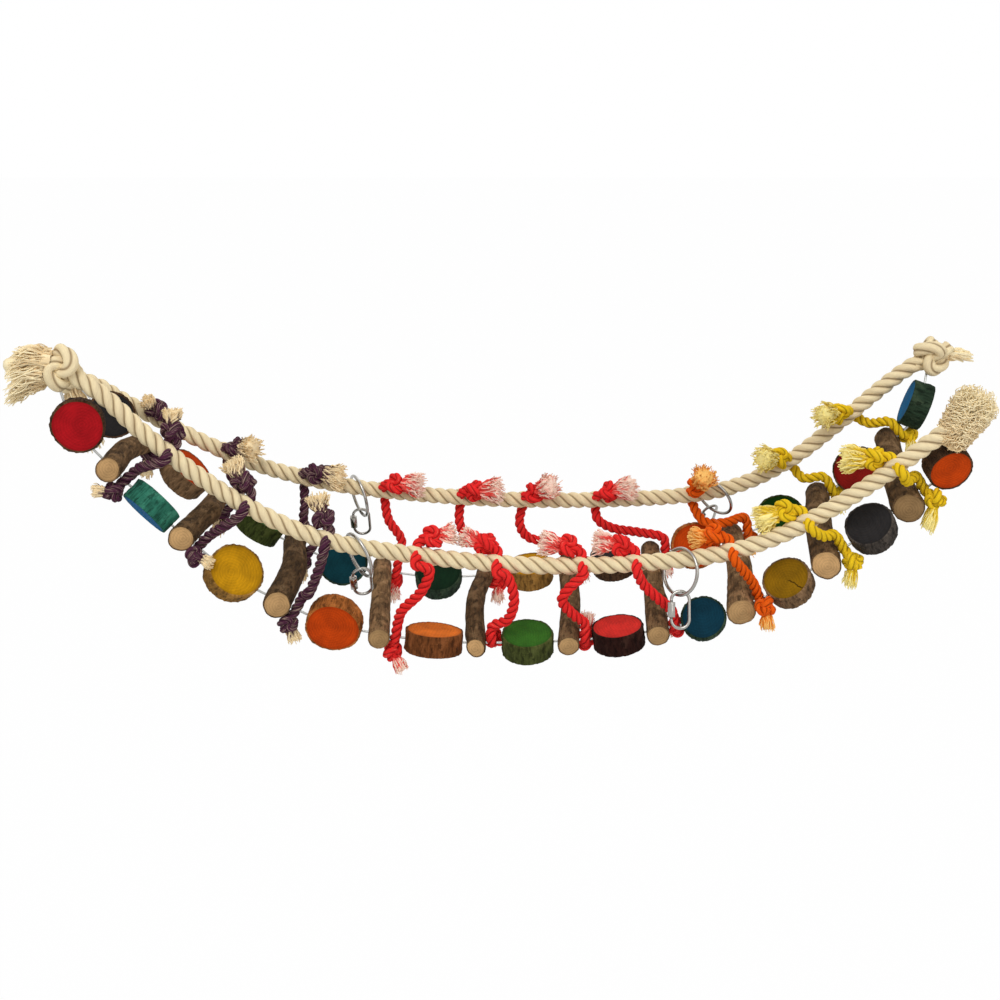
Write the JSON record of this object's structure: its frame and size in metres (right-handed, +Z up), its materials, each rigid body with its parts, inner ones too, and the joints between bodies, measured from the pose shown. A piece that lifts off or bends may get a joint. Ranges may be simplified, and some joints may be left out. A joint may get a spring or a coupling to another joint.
{
  "type": "bird rope ladder",
  "caption": "Hanging bird ladder: bark-covered branch rungs and dyed wood slices threaded on two steel wires below two cotton ropes, with knotted cords, rings and quick links.",
  "frame": {"origin": "middle of the ladder, at the mean height of the four places where the rings hang on the ropes", "axes": "+X along the ladder, -Y to the front, +Z up"},
  "size_m": [1.0042, 0.2496, 0.3337],
  "materials": {
    "cotton_rope": "laid cotton, undyed",
    "bark_wood": "bark left on, sawn ends",
    "steel_wire": "plain wire",
    "plated_steel": "nickel plated",
    "cord_orange": "dyed laid cotton",
    "cord_purple": "dyed laid cotton",
    "cord_red": "dyed laid cotton",
    "cord_yellow": "dyed laid cotton",
    "dyed_black": "food dye soaked into sawn wood",
    "dyed_blue": "food dye soaked into sawn wood",
    "dyed_green": "food dye soaked into sawn wood",
    "dyed_olive": "food dye soaked into sawn wood",
    "dyed_orange": "food dye soaked into sawn wood",
    "dyed_red": "food dye soaked into sawn wood",
    "dyed_teal": "food dye soaked into sawn wood",
    "dyed_yellow": "food dye soaked into sawn wood"
  },
  "bodies": {
    "ladder": {"cord_back_02": "cord_purple", "cord_back_03": "cord_purple", "cord_back_04": "cord_red", "cord_back_05": "cord_red", "cord_back_06": "cord_red", "cord_back_07": "cord_red", "cord_back_08": "cord_orange", "cord_back_09": "cord_yellow", "cord_front_02": "cord_purple", "cord_front_03": "cord_purple", "cord_front_04": "cord_red", "cord_front_05": "cord_red", "cord_front_06": "cord_red", "cord_front_07": "cord_red", "cord_front_08": "cord_orange", "cord_front_09": "cord_yellow", "rope_back": "cotton_rope", "rope_front": "cotton_rope", "rung_01": "bark_wood", "rung_02": "bark_wood", "rung_03": "bark_wood", "rung_04": "bark_wood", "rung_05": "bark_wood", "rung_06": "bark_wood", "rung_07": "bark_wood", "rung_08": "bark_wood", "rung_09": "bark_wood", "rung_10": "bark_wood", "wire_back": "steel_wire", "wire_front": "steel_wire"},
    "slice_front_01": {"slice_front_01": "dyed_red"},
    "slice_front_02": {"slice_front_02": "dyed_blue"},
    "slice_front_03": {"slice_front_03": "dyed_yellow"},
    "slice_front_04": {"slice_front_04": "dyed_orange"},
    "slice_front_05": {"slice_front_05": "dyed_orange"},
    "slice_front_06": {"slice_front_06": "dyed_green"},
    "slice_front_07": {"slice_front_07": "dyed_red"},
    "slice_front_08": {"slice_front_08": "dyed_blue"},
    "slice_front_09": {"slice_front_09": "dyed_olive"},
    "slice_front_10": {"slice_front_10": "dyed_black"},
    "slice_front_11": {"slice_front_11": "dyed_orange"},
    "slice_back_01": {"slice_back_01": "dyed_black"},
    "slice_back_02": {"slice_back_02": "dyed_orange"},
    "slice_back_03": {"slice_back_03": "dyed_green"},
    "slice_back_04": {"slice_back_04": "dyed_teal"},
    "slice_back_05": {"slice_back_05": "dyed_green"},
    "slice_back_06": {"slice_back_06": "dyed_yellow"},
    "slice_back_07": {"slice_back_07": "dyed_black"},
    "slice_back_08": {"slice_back_08": "dyed_orange"},
    "slice_back_09": {"slice_back_09": "dyed_green"},
    "slice_back_10": {"slice_back_10": "dyed_red"},
    "slice_back_11": {"slice_back_11": "dyed_teal"},
    "ring_front_left": {"ring_front_left": "plated_steel"},
    "quick_link_front_left": {"quick_link_front_left": "plated_steel"},
    "ring_front_right": {"ring_front_right": "plated_steel"},
    "quick_link_front_right": {"quick_link_front_right": "plated_steel"},
    "ring_back_left": {"ring_back_left": "plated_steel"},
    "quick_link_back_left": {"quick_link_back_left": "plated_steel"},
    "ring_back_right": {"ring_back_right": "plated_steel"},
    "quick_link_back_right": {"quick_link_back_right": "plated_steel"}
  },
  "joints": [
    {"name": "slice_front_01_turn", "type": "hinge", "parent": "ladder", "child": "slice_front_01", "pos_m": [-0.40389, -0.08977, 0.13217], "axis": [0.4376, -0.0272, -0.8988], "continuous": true},
    {"name": "slice_front_02_turn", "type": "hinge", "parent": "ladder", "child": "slice_front_02", "pos_m": [-0.34221, -0.08675, 0.04852], "axis": [0.65, 0.0488, -0.7584], "continuous": true},
    {"name": "slice_front_03_turn", "type": "hinge", "parent": "ladder", "child": "slice_front_03", "pos_m": [-0.26701, -0.08485, -0.02428], "axis": [0.7813, -0.005, -0.6241], "continuous": true},
    {"name": "slice_front_04_turn", "type": "hinge", "parent": "ladder", "child": "slice_front_04", "pos_m": [-0.1684, -0.085, -0.07837], "axis": [0.9473, 0, -0.3205], "continuous": true},
    {"name": "slice_front_05_turn", "type": "hinge", "parent": "ladder", "child": "slice_front_05", "pos_m": [-0.06786, -0.085, -0.09825], "axis": [0.9963, 0, -0.086], "continuous": true},
    {"name": "slice_front_06_turn", "type": "hinge", "parent": "ladder", "child": "slice_front_06", "pos_m": [0.02799, -0.085, -0.10036], "axis": [0.9996, 0, 0.0269], "continuous": true},
    {"name": "slice_front_07_turn", "type": "hinge", "parent": "ladder", "child": "slice_front_07", "pos_m": [0.1206, -0.085, -0.09298], "axis": [0.9907, 0, 0.136], "continuous": true},
    {"name": "slice_front_08_turn", "type": "hinge", "parent": "ladder", "child": "slice_front_08", "pos_m": [0.20634, -0.08514, -0.07413], "axis": [0.9529, -0.0056, 0.3033], "continuous": true},
    {"name": "slice_front_09_turn", "type": "hinge", "parent": "ladder", "child": "slice_front_09", "pos_m": [0.29021, -0.08398, -0.03516], "axis": [0.8396, 0.0358, 0.542], "continuous": true},
    {"name": "slice_front_10_turn", "type": "hinge", "parent": "ladder", "child": "slice_front_10", "pos_m": [0.3697, -0.0771, 0.02071], "axis": [0.7975, 0.1154, 0.5922], "continuous": true},
    {"name": "slice_front_11_turn", "type": "hinge", "parent": "ladder", "child": "slice_front_11", "pos_m": [0.43918, -0.07197, 0.08597], "axis": [0.4439, -0.1775, 0.8783], "continuous": true},
    {"name": "slice_back_01_turn", "type": "hinge", "parent": "ladder", "child": "slice_back_01", "pos_m": [-0.41272, 0.04461, 0.10297], "axis": [0.7195, 0.0641, -0.6916], "continuous": true},
    {"name": "slice_back_02_turn", "type": "hinge", "parent": "ladder", "child": "slice_back_02", "pos_m": [-0.34409, 0.06379, 0.02958], "axis": [0.6729, 0.2446, -0.6981], "continuous": true},
    {"name": "slice_back_03_turn", "type": "hinge", "parent": "ladder", "child": "slice_back_03", "pos_m": [-0.27062, 0.08192, -0.03592], "axis": [0.7924, 0.0908, -0.6032], "continuous": true},
    {"name": "slice_back_04_turn", "type": "hinge", "parent": "ladder", "child": "slice_back_04", "pos_m": [-0.17853, 0.0852, -0.08279], "axis": [0.9568, -0.007, -0.2906], "continuous": true},
    {"name": "slice_back_05_turn", "type": "hinge", "parent": "ladder", "child": "slice_back_05", "pos_m": [-0.07046, 0.085, -0.10003], "axis": [0.9995, 0, -0.0306], "continuous": true},
    {"name": "slice_back_06_turn", "type": "hinge", "parent": "ladder", "child": "slice_back_06", "pos_m": [0.03476, 0.085, -0.09528], "axis": [0.9933, 0, 0.1154], "continuous": true},
    {"name": "slice_back_07_turn", "type": "hinge", "parent": "ladder", "child": "slice_back_07", "pos_m": [0.12923, 0.085, -0.08149], "axis": [0.9849, 0, 0.1733], "continuous": true},
    {"name": "slice_back_08_turn", "type": "hinge", "parent": "ladder", "child": "slice_back_08", "pos_m": [0.22132, 0.085, -0.06276], "axis": [0.9736, 0, 0.2282], "continuous": true},
    {"name": "slice_back_09_turn", "type": "hinge", "parent": "ladder", "child": "slice_back_09", "pos_m": [0.31506, 0.08404, -0.02968], "axis": [0.8854, -0.0441, 0.4627], "continuous": true},
    {"name": "slice_back_10_turn", "type": "hinge", "parent": "ladder", "child": "slice_back_10", "pos_m": [0.39408, 0.07397, 0.03156], "axis": [0.6827, -0.1676, 0.7113], "continuous": true},
    {"name": "slice_back_11_turn", "type": "hinge", "parent": "ladder", "child": "slice_back_11", "pos_m": [0.4478, 0.06755, 0.10725], "axis": [0.3485, 0.2336, 0.9077], "continuous": true},
    {"name": "ring_front_left_swing", "type": "hinge", "parent": "ladder", "child": "ring_front_left", "pos_m": [-0.141, -0.085, 0.0044], "axis": [0.9849, 0, -0.1732], "range_deg": [-3, 40]},
    {"name": "quick_link_front_left_swing", "type": "hinge", "parent": "ring_front_left", "child": "quick_link_front_left", "pos_m": [-0.14053, -0.07155, -0.02785], "axis": [0.5894, -0.7487, -0.3035], "range_deg": [-15, 50]},
    {"name": "ring_front_right_swing", "type": "hinge", "parent": "ladder", "child": "ring_front_right", "pos_m": [0.18, -0.085, -0.00942], "axis": [0.9941, 0, 0.1089], "range_deg": [-40, 2]},
    {"name": "quick_link_front_right_swing", "type": "hinge", "parent": "ring_front_right", "child": "quick_link_front_right", "pos_m": [0.17967, -0.09927, -0.04169], "axis": [0.6082, -0.7283, 0.3157], "range_deg": [-50, 6]},
    {"name": "ring_back_left_swing", "type": "hinge", "parent": "ladder", "child": "ring_back_left", "pos_m": [-0.158, 0.085, 0.00687], "axis": [0.9901, 0, -0.1403], "range_deg": [-3, 40]},
    {"name": "quick_link_back_left_swing", "type": "hinge", "parent": "ring_back_left", "child": "quick_link_back_left", "pos_m": [-0.1577, 0.09697, -0.02639], "axis": [0.4578, -0.8378, -0.2975], "range_deg": [-50, 50]},
    {"name": "ring_back_right_swing", "type": "hinge", "parent": "ladder", "child": "ring_back_right", "pos_m": [0.241, 0.085, 0.00279], "axis": [0.9755, 0, 0.2201], "range_deg": [-2, 30]},
    {"name": "quick_link_back_right_swing", "type": "hinge", "parent": "ring_back_right", "child": "quick_link_back_right", "pos_m": [0.2395, 0.10532, -0.02519], "axis": [0.738, -0.5267, -0.4219], "range_deg": [-8, 50]}
  ]
}
